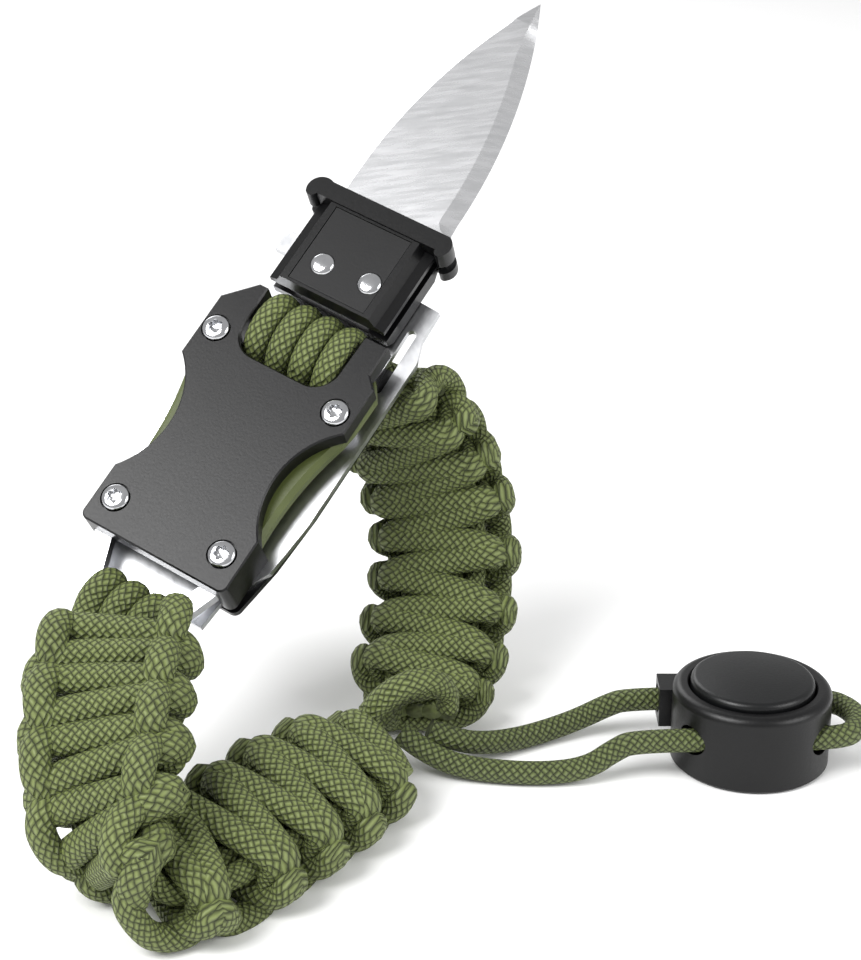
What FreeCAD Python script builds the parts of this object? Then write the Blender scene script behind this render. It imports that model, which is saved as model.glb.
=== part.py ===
import FreeCAD, Part
import math
import os
import Sketcher

# A cord bracelet whose buckle carries a short knife. The bracelet stands on its edge with the
# buckle leaning back, and a drawcord with a push-button cord lock lies beside it.
# The row frame has +Z up. The origin is on the ground under the middle of the bracelet.
# Buckle and knife are drawn in the buckle's own frame: X across it, Y towards the knife's tip,
# Z out of its front face, and zero at the middle of the front plate's face.

Vector = FreeCAD.Vector
doc = FreeCAD.newDocument("cord_bracelet_knife")

# ---------------------------------------------------------------- driving dimensions

SIZES = [
    ("buckle_x", -10.89, "buckle origin across the ground"),
    ("buckle_y", 4.85, "buckle origin away from the front"),
    ("buckle_z", 49.9, "buckle origin above the ground"),
    ("buckle_yaw", -28.3, "buckle turn about Z, degrees"),
    ("buckle_pitch", 16.7, "buckle turn about Y, degrees"),
    ("buckle_roll", 41.8, "buckle lean about X, degrees"),
    ("plate_thick", 3.0, "front plate"),
    ("plate_low_half", 13.2, "front plate half width at the lower corners"),
    ("plate_waist_half", 9.8, "front plate half width at the waist"),
    ("plate_top_half", 15.0, "front plate half width above the waist"),
    ("plate_low_end", -21.0, "front plate lower edge"),
    ("plate_top_end", 24.7, "front plate horn tips"),
    ("notch_half", 8.8, "half width of the cord notch"),
    ("notch_floor", 13.4, "where the cord notch ends"),
    ("post_depth", 4.5, "corner posts below the front plate"),
    ("rail_thick", 2.8, "liner rails"),
    ("strap_plate_thick", 2.0, "strap plate"),
    ("strap_plate_top", -3.1, "strap plate front face"),
    ("rear_top", -7.5, "rear plate front face"),
    ("rear_thick", 1.2, "rear plate"),
    ("cover_thick", 1.8, "back cover"),
    ("screw_head_radius", 2.15, "plate screw head"),
    ("screw_head_tall", 1.1, "plate screw head"),
    ("screw_radius", 1.15, "plate screw shank"),
    ("screw_hole_radius", 1.2, "holes for the plate screws"),
    ("sink_radius", 2.35, "sinks for the screw heads"),
    ("sink_deep", 0.7, "sinks for the screw heads"),
    ("nut_radius", 1.75, "barrel nut"),
    ("nut_tall", 1.9, "barrel nut"),
    ("bush_radius", 2.3, "spacer bush"),
    ("blade_thick", 2.0, "blade and tang"),
    ("blade_top", -2.4, "blade front face"),
    ("blade_half", 9.5, "blade half width at the collar"),
    ("blade_tip", 91.3, "blade tip"),
    ("grip_low", 27.0, "lower end of the grip"),
    ("grip_high", 42.0, "upper end of the grip"),
    ("grip_half", 10.6, "grip half width at its foot"),
    ("grip_top", 0.8, "grip front face"),
    ("grip_bottom", -7.2, "grip rear face"),
    ("panel_thick", 0.5, "inset grip panel"),
    ("rivet_radius", 1.95, "grip rivets"),
    ("foot_gap", 0.3, "clearance of the sliding foot"),
    ("foot_neck_half", 2.6, "sliding foot's neck half width"),
    ("cord_radius", 1.8, "drawcord"),
    ("loop_cord_radius", 1.75, "cords looped over the buckle's bars"),
    ("strap_thick", 10.0, "woven straps"),
    ("lock_x", 69.01, "cord lock axis"),
    ("lock_y", -2.15, "cord lock axis"),
    ("lock_radius", 12.2, "cord lock body"),
    ("lock_tall", 12.6, "cord lock body"),
    ("lock_bore", 9.8, "cord lock bore"),
    ("lock_base_tall", 1.2, "cord lock base cap"),
    ("channel_offset", 6.8, "cord channels from the lock's axis"),
    ("channel_radius", 2.3, "cord channels"),
    ("channel_high", 6.5, "cord channels above the ground"),
    ("button_radius", 9.5, "push button"),
    ("button_low", 10.4, "underside of the push button's cap"),
    ("button_high", 14.4, "push button's top"),
    ("stem_radius", 4.2, "push button's stem"),
    ("stem_bore", 3.2, "spring pocket in the stem"),
    ("spring_wire", 0.35, "spring wire radius"),
    ("spring_coil", 2.5, "spring coil radius"),
]

sheet = doc.addObject("Spreadsheet::Sheet", "Sizes")
for row, (alias, value, words) in enumerate(SIZES, start=1):
    sheet.set("A%d" % row, words)
    sheet.set("B%d" % row, str(value))
    sheet.setAlias("B%d" % row, alias)
doc.recompute()


def size(alias):
    """The value of a cell of the sheet."""
    return float(sheet.get(alias))


BUCKLE = FreeCAD.Placement(
    Vector(size("buckle_x"), size("buckle_y"), size("buckle_z")),
    FreeCAD.Rotation(size("buckle_yaw"), size("buckle_pitch"), size("buckle_roll")),
)
LOCK = FreeCAD.Placement(Vector(size("lock_x"), size("lock_y"), 0), FreeCAD.Rotation())
ROW = FreeCAD.Placement()

subparts = []


def finished(thing, node, place):
    """Names a sub-part, places it and keeps it for export."""
    thing.Label = node
    thing.Placement = place
    subparts.append(thing)
    return thing


# ---------------------------------------------------------------- small helpers


def bind(thing, **cells):
    """Binds properties to expressions on the sheet."""
    for prop, formula in cells.items():
        thing.setExpression(prop, formula)


def origin_plane(body, role="XY_Plane"):
    """One of a body's own origin planes."""
    return next(item for item in body.Origin.OriginFeatures if item.Role == role)


def sketch_at(body, name, height, role="XY_Plane"):
    """A sketch on a body's origin plane, lifted along its normal by a formula."""
    sketch = body.newObject("Sketcher::SketchObject", name)
    sketch.AttachmentSupport = [(origin_plane(body, role), "")]
    sketch.MapMode = "FlatFace"
    sketch.setExpression("AttachmentOffset.Base.z", height)
    return sketch


def outline(sketch, start, steps):
    """A closed outline: a step is an end point, or a middle and an end point of an arc."""
    here = Vector(start[0], start[1], 0)
    first = here
    for step in steps:
        if len(step) == 2:
            there = Vector(step[0], step[1], 0)
            sketch.addGeometry(Part.LineSegment(here, there))
        else:
            middle = Vector(step[0], step[1], 0)
            there = Vector(step[2], step[3], 0)
            sketch.addGeometry(Part.Arc(here, middle, there))
        here = there
    if (here - first).Length > 1e-6:
        sketch.addGeometry(Part.LineSegment(here, first))


def rectangle(sketch, low_x, low_y, high_x, high_y):
    """A rectangle in a sketch."""
    outline(sketch, (low_x, low_y), [(high_x, low_y), (high_x, high_y), (low_x, high_y)])


def round_hole(sketch, x, y, radius_cell):
    """A circle in a sketch, its radius bound to a cell."""
    index = sketch.addGeometry(Part.Circle(Vector(x, y, 0), Vector(0, 0, 1), size(radius_cell)))
    sketch.addConstraint(Sketcher.Constraint("DistanceX", -1, 1, index, 3, x))
    sketch.addConstraint(Sketcher.Constraint("DistanceY", -1, 1, index, 3, y))
    radius = sketch.addConstraint(Sketcher.Constraint("Radius", index, size(radius_cell)))
    sketch.setExpression("Constraints[%d]" % radius, "Sizes." + radius_cell)


def pad(body, sketch, name, length, down=False):
    """A pad whose length is a formula."""
    feature = body.newObject("PartDesign::Pad", name)
    feature.Profile = sketch
    feature.Reversed = down
    bind(feature, Length=length)
    doc.recompute()
    return feature


def pocket_through(body, sketch, name):
    """A pocket through the whole body, both ways from its sketch."""
    before = body.Shape.Volume
    feature = body.newObject("PartDesign::Pocket", name)
    feature.Profile = sketch
    feature.Type = "ThroughAll"
    feature.Midplane = True
    doc.recompute()
    if not feature.Shape.Volume < before:
        raise RuntimeError(name + " cut nothing")
    return feature


def pocket_down(body, sketch, name, length):
    """A pocket that goes down from its sketch by a formula."""
    before = body.Shape.Volume
    feature = body.newObject("PartDesign::Pocket", name)
    feature.Profile = sketch
    bind(feature, Length=length)
    doc.recompute()
    if not feature.Shape.Volume < before:
        raise RuntimeError(name + " cut nothing")
    return feature


def edges_where(shape, wanted):
    """Names of the edges that a test accepts."""
    return ["Edge%d" % (n + 1) for n, edge in enumerate(shape.Edges) if wanted(edge)]


def lies_at(height):
    """A test for edges that lie flat at one height."""
    def wanted(edge):
        box = edge.BoundBox
        return abs(box.ZMin - height) < 1e-4 and abs(box.ZMax - height) < 1e-4
    return wanted


def stands_at(x, y):
    """A test for upright edges at one place."""
    def wanted(edge):
        box = edge.BoundBox
        upright = box.XLength < 1e-4 and box.YLength < 1e-4
        return upright and abs(box.XMin - x) < 1e-3 and abs(box.YMin - y) < 1e-3
    return wanted


def dress(body, kind, base, names, name, cell):
    """A fillet or chamfer on chosen edges, its size bound to a formula."""
    feature = body.newObject("PartDesign::" + kind, name)
    feature.Base = (base, names)
    bind(feature, **{"Radius" if kind == "Fillet" else "Size": cell})
    doc.recompute()
    return feature


def cylinder(name, radius, height, x, y, z):
    """A Part cylinder whose radius, height and base are formulas."""
    thing = doc.addObject("Part::Cylinder", name)
    bind(thing, Radius=radius, Height=height)
    thing.setExpression("Placement.Base.x", x)
    thing.setExpression("Placement.Base.y", y)
    thing.setExpression("Placement.Base.z", z)
    return thing


def fused(name, pieces):
    """A fusion of several Part objects."""
    thing = doc.addObject("Part::MultiFuse", name)
    thing.Shapes = pieces
    return thing


def cut(name, base, tool):
    """One Part object cut by another."""
    thing = doc.addObject("Part::Cut", name)
    thing.Base = base
    thing.Tool = tool
    return thing


# ---------------------------------------------------------------- buckle

low_half = size("plate_low_half")
waist_half = size("plate_waist_half")
top_half = size("plate_top_half")
low_end = size("plate_low_end")
top_end = size("plate_top_end")
notch = size("notch_half")
notch_floor = size("notch_floor")
WAIST_LOW = -11.5
WAIST_MIDDLE = -1.2
WAIST_HIGH = 9.2
SCREWS = [(-9.9, -16.0), (9.5, -15.8), (-12.4, 15.0), (11.9, 11.6)]
UPPER_SCREWS = SCREWS[2:]
CORNER = 1.3


def screw_holes(body, height, cell="screw_hole_radius"):
    """The four screw holes through a plate."""
    sketch = sketch_at(body, body.Name + "_hole_sketch", height)
    for x, y in SCREWS:
        round_hole(sketch, x, y, cell)
    return pocket_through(body, sketch, body.Name + "_holes")


def make_front_plate():
    """The black front plate: waisted sides, a notch for the cords, and two corner posts."""
    body = doc.addObject("PartDesign::Body", "front_plate")
    face = sketch_at(body, "front_outline", "-Sizes.plate_thick")
    outline(face, (-low_half, low_end), [
        (low_half, low_end),
        (low_half, WAIST_LOW),
        (waist_half, WAIST_MIDDLE, top_half, WAIST_HIGH),
        (top_half, 17.6),
        (top_half - 1.8, 19.4),
        (top_half - 1.8, top_end),
        (notch + 0.2, top_end),
        (notch, notch_floor + 4.2),
        (notch - 1.2, notch_floor + 1.2, notch - 4.2, notch_floor),
        (-notch + 4.2, notch_floor),
        (-notch + 1.2, notch_floor + 1.2, -notch, notch_floor + 4.2),
        (-notch - 0.2, top_end),
        (-notch - 1.8, top_end),
        (-top_half, 20.2),
        (-top_half, WAIST_HIGH),
        (-waist_half, WAIST_MIDDLE, -low_half, WAIST_LOW),
    ])
    blank = pad(body, face, "front_pad", "Sizes.plate_thick")
    corners = edges_where(blank.Shape, stands_at(low_half, low_end))
    corners += edges_where(blank.Shape, stands_at(-low_half, low_end))
    rounded = dress(body, "Fillet", blank, corners, "corner_round", str(CORNER))
    rim = edges_where(rounded.Shape, lies_at(0))
    dress(body, "Chamfer", rounded, rim, "rim_break", "0.25")
    posts = sketch_at(body, "post_outline", "-Sizes.plate_thick")
    wall = 1.8
    bend = CORNER * (1 - math.sqrt(0.5))
    for side in (-1, 1):
        outer = side * low_half
        outline(posts, (outer - side * wall, low_end), [
            (outer - side * CORNER, low_end),
            (outer - side * bend, low_end + bend, outer, low_end + CORNER),
            (outer, WAIST_LOW),
            (outer - side * wall, WAIST_LOW),
        ])
    pad(body, posts, "post_pad", "Sizes.post_depth", down=True)
    blocks = sketch_at(body, "post_block_outline", "Sizes.rear_top")
    for side in (-1, 1):
        outer = side * (low_half - wall)
        inner = side * 7.6
        rectangle(blocks, min(outer, inner), low_end + 1.6, max(outer, inner), WAIST_LOW - 1.2)
    pad(body, blocks, "post_block_pad", "2.1")
    screw_holes(body, "-Sizes.plate_thick")
    sinks = sketch_at(body, "sink_sketch", "0")
    for x, y in SCREWS:
        round_hole(sinks, x, y, "sink_radius")
    pocket_down(body, sinks, "sinks", "Sizes.sink_deep")
    return finished(body, "front_plate", BUCKLE)


def make_liner_rail(side, node):
    """A moulded liner rail under one side of the front plate, bulging past its waist."""
    body = doc.addObject("PartDesign::Body", node)
    face = sketch_at(body, node + "_outline", "-Sizes.plate_thick - Sizes.rail_thick")
    steps = [
        (11.2, WAIST_LOW - 0.8),
        (11.2, WAIST_LOW + 0.2),
        (12.4, WAIST_LOW + 0.2),
        (12.5, WAIST_MIDDLE, 14.4, WAIST_HIGH - 0.6),
        (14.6, 17.8),
        (12.8, 20.4),
        (10.8, 20.4),
        (10.8, 11.0),
        (9.0, 9.2),
    ]
    flipped = [tuple(v * side if n % 2 == 0 else v for n, v in enumerate(step)) for step in steps]
    outline(face, (9.0 * side, WAIST_LOW - 0.8), flipped)
    blank = pad(body, face, node + "_pad", "Sizes.rail_thick")
    middle = -size("plate_thick") - size("rail_thick")
    bulge = edges_where(blank.Shape, lambda edge: (lies_at(middle)(edge) or lies_at(-size("plate_thick"))(edge))
                        and isinstance(edge.Curve, Part.Circle))
    dress(body, "Chamfer", blank, bulge, node + "_ridge", "0.8")
    holes = sketch_at(body, node + "_hole_sketch", "-Sizes.plate_thick")
    for x, y in UPPER_SCREWS:
        if x * side > 0:
            round_hole(holes, x, y, "screw_hole_radius")
    pocket_through(body, holes, node + "_hole")
    return finished(body, node, BUCKLE)


def make_strap_plate():
    """The steel plate inside the buckle: a trapezoid loop at one end, a crossbar at the other."""
    body = doc.addObject("PartDesign::Body", "strap_plate")
    face = sketch_at(body, "strap_outline", "Sizes.strap_plate_top - Sizes.strap_plate_thick")
    half = []
    for side in (-1, 1):
        half.append([(side * x, y) for x, y in [
            (7.4, -30.4), (11.2, low_end + 0.2), (11.2, -14.4), (8.8, -12.6),
            (8.8, 9.0), (10.5, 10.8), (10.5, 20.9), (9.0, 22.4)]])
    left, right = half
    outline(face, left[0], right + left[:0:-1])
    lower = sketch_at(body, "strap_windows", "Sizes.strap_plate_top")
    outline(lower, (-5.4, -28.3), [(5.4, -28.3), (8.6, -19.6), (-8.6, -19.6)])
    rectangle(lower, -8.6, 12.8, 8.6, 20.0)
    pad(body, face, "strap_pad", "Sizes.strap_plate_thick")
    pocket_through(body, lower, "strap_openings")
    holes = sketch_at(body, "strap_hole_sketch", "Sizes.strap_plate_top")
    for x, y in SCREWS[:2]:
        round_hole(holes, x, y, "screw_hole_radius")
    pocket_through(body, holes, "strap_holes")
    return finished(body, "strap_plate", BUCKLE)


def make_rear_plate():
    """The steel rear plate: its upper end carries the knife between a hooked and a slotted arm."""
    body = doc.addObject("PartDesign::Body", "rear_plate")
    face = sketch_at(body, "rear_outline", "Sizes.rear_top - Sizes.rear_thick")
    outline(face, (-10.2, -25.4), [
        (10.2, -25.4),
        (10.6, low_end),
        (14.6, -13.0),
        (15.5, -4.0),
        (15.6, 27.0),
        (14.2, 31.0),
        (14.0, 36.4),
        (3.0, 37.0),
        (3.0, 30.2),
        (-3.0, 30.2),
        (-3.0, 37.0),
        (-14.6, 38.0),
        (-15.6, 37.0),
        (-15.6, 34.0),
        (-13.2, 34.0),
        (-12.4, 32.8),
        (-12.4, 22.0),
        (-14.6, 19.5),
        (-15.2, -4.0),
        (-14.6, -13.0),
        (-10.6, low_end),
    ])
    pad(body, face, "rear_pad", "Sizes.rear_thick")
    windows = sketch_at(body, "rear_windows", "Sizes.rear_top")
    rectangle(windows, -8.6, 12.6, 8.6, 26.6)
    outline(windows, (11.6, 20.6), [(12.4, 19.8, 13.2, 20.6), (13.0, 31.0),
                                    (12.2, 31.8, 11.4, 31.0)])
    pocket_through(body, windows, "rear_openings")
    screw_holes(body, "Sizes.rear_top")
    return finished(body, "rear_plate", BUCKLE)


def make_back_cover():
    """The black cover behind the rear plate, with bores for the barrel nuts."""
    body = doc.addObject("PartDesign::Body", "back_cover")
    face = sketch_at(body, "cover_outline", "Sizes.rear_top - Sizes.rear_thick - Sizes.cover_thick")
    outline(face, (-low_half, low_end), [
        (low_half, low_end),
        (14.6, -12.0),
        (15.2, -2.0),
        (15.2, 18.0),
        (13.0, 24.6),
        (8.8, 24.6),
        (8.8, 12.6),
        (-8.8, 12.6),
        (-8.8, 24.6),
        (-12.2, 24.6),
        (-14.4, 18.0),
        (-14.8, -2.0),
        (-14.6, -12.0),
    ])
    blank = pad(body, face, "cover_pad", "Sizes.cover_thick")
    bottom = size("rear_top") - size("rear_thick") - size("cover_thick")
    corners = edges_where(blank.Shape, stands_at(low_half, low_end))
    corners += edges_where(blank.Shape, stands_at(-low_half, low_end))
    rounded = dress(body, "Fillet", blank, corners, "cover_corners", str(CORNER))
    rim = edges_where(rounded.Shape, lies_at(bottom))
    dress(body, "Chamfer", rounded, rim, "cover_rim", "0.6")
    screw_holes(body, "Sizes.rear_top - Sizes.rear_thick", "nut_radius")
    return finished(body, "back_cover", BUCKLE)


def make_plate_screws():
    """Four domed screws with a hexagonal recess, heads on the front plate."""
    pieces = []
    for n, (x, y) in enumerate(SCREWS, start=1):
        place = ("%g" % x, "%g" % y)
        head = cylinder("screw_head_%d" % n, "Sizes.screw_head_radius", "Sizes.screw_head_tall",
                        *place, "-Sizes.sink_deep")
        shank = cylinder("screw_shank_%d" % n, "Sizes.screw_radius",
                         "-0.7 - Sizes.rear_top + Sizes.rear_thick + 0.6",
                         *place, "Sizes.rear_top - Sizes.rear_thick - 0.6")
        doc.recompute()
        domed = doc.addObject("Part::Fillet", "screw_dome_%d" % n)
        domed.Base = head
        domed.Edges = [(int(name[4:]), 0.45, 0.45) for name in edges_where(
            head.Shape, lies_at(size("screw_head_tall") - 0.7))]
        recess = doc.addObject("Part::Prism", "screw_recess_%d" % n)
        recess.Polygon = 6
        recess.Circumradius = 1.2
        recess.Height = 1.0
        recess.Placement = FreeCAD.Placement(Vector(x, y, size("screw_head_tall") - 1.4),
                                             FreeCAD.Rotation(17 * n, 0, 0))
        pieces.append(cut("screw_%d" % n, fused("screw_blank_%d" % n, [domed, shank]), recess))
    return finished(fused("plate_screws", pieces), "plate_screws", BUCKLE)


def make_barrel_nuts():
    """Four blind barrel nuts in the back cover."""
    pieces = []
    for n, (x, y) in enumerate(SCREWS, start=1):
        place = ("%g" % x, "%g" % y)
        low = "Sizes.rear_top - Sizes.rear_thick - Sizes.nut_tall"
        barrel = cylinder("nut_barrel_%d" % n, "Sizes.nut_radius - 0.02", "Sizes.nut_tall", *place, low)
        bore = cylinder("nut_bore_%d" % n, "Sizes.screw_hole_radius", "1.2", *place,
                        "Sizes.rear_top - Sizes.rear_thick - 1.2")
        pieces.append(cut("nut_%d" % n, barrel, bore))
    return finished(fused("barrel_nuts", pieces), "barrel_nuts", BUCKLE)


def make_spacer_bushes():
    """Two bushes that hold the rear plate off the liner rails at the upper screws."""
    pieces = []
    for n, (x, y) in enumerate(UPPER_SCREWS, start=1):
        place = ("%g" % x, "%g" % y)
        tall = "-Sizes.plate_thick - Sizes.rail_thick - Sizes.rear_top"
        outer = cylinder("bush_outer_%d" % n, "Sizes.bush_radius", tall, *place, "Sizes.rear_top")
        bore = cylinder("bush_bore_%d" % n, "Sizes.screw_hole_radius", tall, *place, "Sizes.rear_top")
        pieces.append(cut("bush_%d" % n, outer, bore))
    return finished(fused("spacer_bushes", pieces), "spacer_bushes", BUCKLE)


# ---------------------------------------------------------------- knife

grip_low = size("grip_low")
grip_high = size("grip_high")
grip_half = size("grip_half")
blade_half = size("blade_half")
RIVETS = [(-3.4, 31.9), (5.0, 32.4)]
PANEL_HALF = 7.7


def make_blade():
    """A drop-point blade with a heel at its edge side and a tang that fills the grip."""
    body = doc.addObject("PartDesign::Body", "blade")
    face = sketch_at(body, "blade_outline", "Sizes.blade_top - Sizes.blade_thick")
    outline(face, (-7.0, grip_low + 1.0), [
        (7.0, grip_low + 1.0),
        (7.0, grip_high + 0.5),
        (blade_half + 2.6, grip_high + 0.5),
        (blade_half + 2.9, grip_high + 2.6),
        (blade_half + 0.9, grip_high + 4.2),
        (blade_half + 0.6, grip_high + 7.0),
        (8.2, 68.5, 0.4, size("blade_tip")),
        (-7.6, 69.0, -blade_half, grip_high + 4.6),
        (-blade_half, grip_high + 0.5),
        (-7.0, grip_high + 0.5),
    ])
    pad(body, face, "blade_pad", "Sizes.blade_thick")
    holes = sketch_at(body, "tang_holes", "Sizes.blade_top")
    for x, y in RIVETS:
        round_hole(holes, x, y, "rivet_radius")
    pocket_through(body, holes, "tang_rivet_holes")
    return finished(body, "blade", BUCKLE)


def make_grip_front():
    """The front scale: a raised block with bevelled side rails and a shallow seat for the panel."""
    body = doc.addObject("PartDesign::Body", "grip_front")
    end = sketch_at(body, "grip_front_profile", "0", "XZ_Plane")
    low = size("blade_top")
    top = size("grip_top")
    end.setExpression("AttachmentOffset.Base.z", "-Sizes.grip_high")
    outline(end, (-grip_half, low), [
        (grip_half, low),
        (grip_half, low + 0.9),
        (PANEL_HALF + 1.4, low + 1.4),
        (PANEL_HALF + 0.5, top),
        (-PANEL_HALF - 0.5, top),
        (-PANEL_HALF - 1.4, low + 1.4),
        (-grip_half, low + 0.9),
    ])
    pad(body, end, "grip_front_pad", "Sizes.grip_high - Sizes.grip_low")
    seat = sketch_at(body, "panel_seat", "Sizes.grip_top")
    rectangle(seat, -PANEL_HALF + 0.7, grip_low + 0.5, PANEL_HALF - 0.7, grip_high - 0.4)
    pocket_down(body, seat, "panel_pocket", "Sizes.panel_thick")
    holes = sketch_at(body, "grip_front_holes", "Sizes.grip_top")
    for x, y in RIVETS:
        round_hole(holes, x, y, "rivet_radius")
    pocket_through(body, holes, "grip_front_rivet_holes")
    return finished(body, "grip_front", BUCKLE)


def make_grip_panel():
    """The flat panel let into the front scale."""
    body = doc.addObject("PartDesign::Body", "grip_panel")
    face = sketch_at(body, "panel_outline", "Sizes.grip_top - Sizes.panel_thick")
    rectangle(face, -PANEL_HALF + 0.8, grip_low + 0.6, PANEL_HALF - 0.8, grip_high - 0.5)
    pad(body, face, "panel_pad", "Sizes.panel_thick - 0.1")
    holes = sketch_at(body, "panel_holes", "Sizes.grip_top")
    for x, y in RIVETS:
        round_hole(holes, x, y, "rivet_radius")
    pocket_through(body, holes, "panel_rivet_holes")
    return finished(body, "grip_panel", BUCKLE)


def make_grip_rear():
    """The rear scale, with a T-shaped foot that slides in the rear plate's open slot."""
    body = doc.addObject("PartDesign::Body", "grip_rear")
    face = sketch_at(body, "grip_rear_outline", "Sizes.grip_bottom")
    rectangle(face, -grip_half, grip_low, grip_half, grip_high)
    block = pad(body, face, "grip_rear_pad", "Sizes.blade_top - Sizes.blade_thick - Sizes.grip_bottom")
    low_rim = edges_where(block.Shape, lambda edge: lies_at(size("grip_bottom"))(edge)
                          and edge.BoundBox.YLength < 1e-4)
    dress(body, "Chamfer", block, low_rim, "grip_rear_break", "1.4")
    neck = size("foot_neck_half")
    gap = size("foot_gap")
    stem = sketch_at(body, "foot_neck", "Sizes.grip_bottom + 0.2")
    rectangle(stem, -neck, 30.2 + gap, neck, grip_high - 3)
    pad(body, stem, "foot_neck_pad",
        "0.2 + Sizes.grip_bottom - Sizes.rear_top + Sizes.rear_thick + Sizes.foot_gap + 0.2",
        down=True)
    sole = sketch_at(body, "foot_sole", "Sizes.rear_top - Sizes.rear_thick - Sizes.foot_gap")
    rectangle(sole, -neck - 2.4, 30.2 + gap, neck + 2.4, grip_high - 3)
    pad(body, sole, "foot_sole_pad", "1.2", down=True)
    holes = sketch_at(body, "grip_rear_holes", "Sizes.blade_top - Sizes.blade_thick")
    for x, y in RIVETS:
        round_hole(holes, x, y, "rivet_radius")
    pocket_down(body, holes, "grip_rear_rivet_holes",
                "Sizes.blade_top - Sizes.blade_thick - Sizes.grip_bottom - 0.3")
    return finished(body, "grip_rear", BUCKLE)


def make_guard_collar():
    """The collar is two halves that meet on the blade's two faces."""
    made = []
    for node, low, tall in (
        ("collar_front", "Sizes.blade_top", "Sizes.grip_top - Sizes.blade_top + 0.4"),
        ("collar_rear", "Sizes.grip_bottom + 0.6",
         "Sizes.blade_top - Sizes.blade_thick - Sizes.grip_bottom - 0.6"),
    ):
        body = doc.addObject("PartDesign::Body", node)
        face = sketch_at(body, node + "_outline", low)
        base = grip_high + 0.05
        outline(face, (-11.0, base), [
            (11.0, base),
            (11.4, base - 0.8, 12.4, base - 0.6),
            (13.2, base + 1.2, 12.0, base + 2.9),
            (-9.6, base + 2.9),
            (-12.6, base + 2.2, -12.8, base - 0.4),
            (-11.9, base - 0.8, -11.0, base),
        ])
        pad(body, face, node + "_pad", tall)
        made.append(finished(body, node, BUCKLE))
    return made


def make_grip_rivets():
    """Two rivets through the scales and the tang."""
    pieces = []
    for n, (x, y) in enumerate(RIVETS, start=1):
        pieces.append(cylinder("rivet_%d" % n, "Sizes.rivet_radius",
                               "Sizes.grip_top - Sizes.grip_bottom - 0.2",
                               "%g" % x, "%g" % y, "Sizes.grip_bottom + 0.3"))
    return finished(fused("grip_rivets", pieces), "grip_rivets", BUCKLE)


# ---------------------------------------------------------------- cord lock

channel = size("channel_offset")


def make_lock_body():
    """The cord lock's round body: an open bore, two cord channels and a lug."""
    body = doc.addObject("PartDesign::Body", "lock_body")
    wall = sketch_at(body, "lock_wall_profile", "0", "XZ_Plane")
    outer = size("lock_radius")
    bore = size("lock_bore")
    tall = size("lock_tall")
    outline(wall, (bore, 0), [
        (outer - 0.5, 0),
        (outer, 0.5),
        (outer, tall - 1.3),
        (outer - 0.4, tall - 0.4, outer - 1.3, tall),
        (bore + 0.2, tall),
        (bore, tall - 0.2),
    ])
    turned = body.newObject("PartDesign::Revolution", "lock_wall")
    turned.Profile = wall
    turned.ReferenceAxis = (wall, ["V_Axis"])
    turned.Angle = 360
    doc.recompute()
    lug = sketch_at(body, "lug_outline", "Sizes.channel_high - 3.2")
    rectangle(lug, -outer - 1.6, channel - 3.4, -9.9, channel + 2.2)
    pad(body, lug, "lug_pad", "6.4")
    holes = sketch_at(body, "channel_sketch", "0", "YZ_Plane")
    for y in (-channel, channel):
        index = holes.addGeometry(Part.Circle(Vector(y, size("channel_high"), 0), Vector(0, 0, 1),
                                              size("channel_radius")))
        radius = holes.addConstraint(Sketcher.Constraint("Radius", index, size("channel_radius")))
        holes.setExpression("Constraints[%d]" % radius, "Sizes.channel_radius")
    pocket_through(body, holes, "channels")
    return finished(body, "lock_body", LOCK)


def make_lock_base():
    """The cap that closes the lock's bore from below."""
    body = doc.addObject("PartDesign::Body", "lock_base")
    face = sketch_at(body, "base_outline", "0")
    round_hole(face, 0, 0, "lock_bore")
    pad(body, face, "base_pad", "Sizes.lock_base_tall")
    return finished(body, "lock_base", LOCK)


def make_lock_button():
    """The push button: a domed cap on a stem that is bored for the spring."""
    body = doc.addObject("PartDesign::Body", "lock_button")
    face = sketch_at(body, "button_profile", "0", "XZ_Plane")
    cap = size("button_radius")
    low = size("button_low")
    high = size("button_high")
    stem = size("stem_radius")
    pocket = size("stem_bore")
    rim = cap - 0.9
    sphere = (rim ** 2 + 0.6 ** 2) / (2 * 0.6)
    half_way = high - sphere + math.sqrt(sphere ** 2 - rim ** 2 / 4)
    outline(face, (pocket, 3.4), [
        (stem, 3.4),
        (stem, low),
        (cap, low),
        (cap, high - 1.6),
        (cap - 0.25, high - 0.9, rim, high - 0.6),
        (rim / 2, half_way, 0, high),
        (0, low - 1.0),
        (pocket, low - 1.0),
    ])
    turned = body.newObject("PartDesign::Revolution", "button_turned")
    turned.Profile = face
    turned.ReferenceAxis = (face, ["V_Axis"])
    turned.Angle = 360
    doc.recompute()
    return finished(body, "lock_button", LOCK)


def make_lock_spring():
    """The compression spring between the base cap and the button."""
    wire = size("spring_wire")
    coil = size("spring_coil")
    low = size("lock_base_tall") + wire + 0.05
    high = size("button_low") - 1.0 - wire - 0.05
    turns = 5
    helix = Part.makeHelix((high - low) / turns, high - low, coil)
    helix.translate(Vector(0, 0, low))
    section = Part.Wire(Part.makeCircle(wire, Vector(coil, 0, low), Vector(0, 1, 0)))
    solid = Part.Wire(helix.Edges).makePipeShell([section], True, True)
    thing = doc.addObject("Part::Feature", "lock_spring")
    thing.Shape = solid
    return finished(thing, "lock_spring", LOCK)


# ---------------------------------------------------------------- cords and straps


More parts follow.
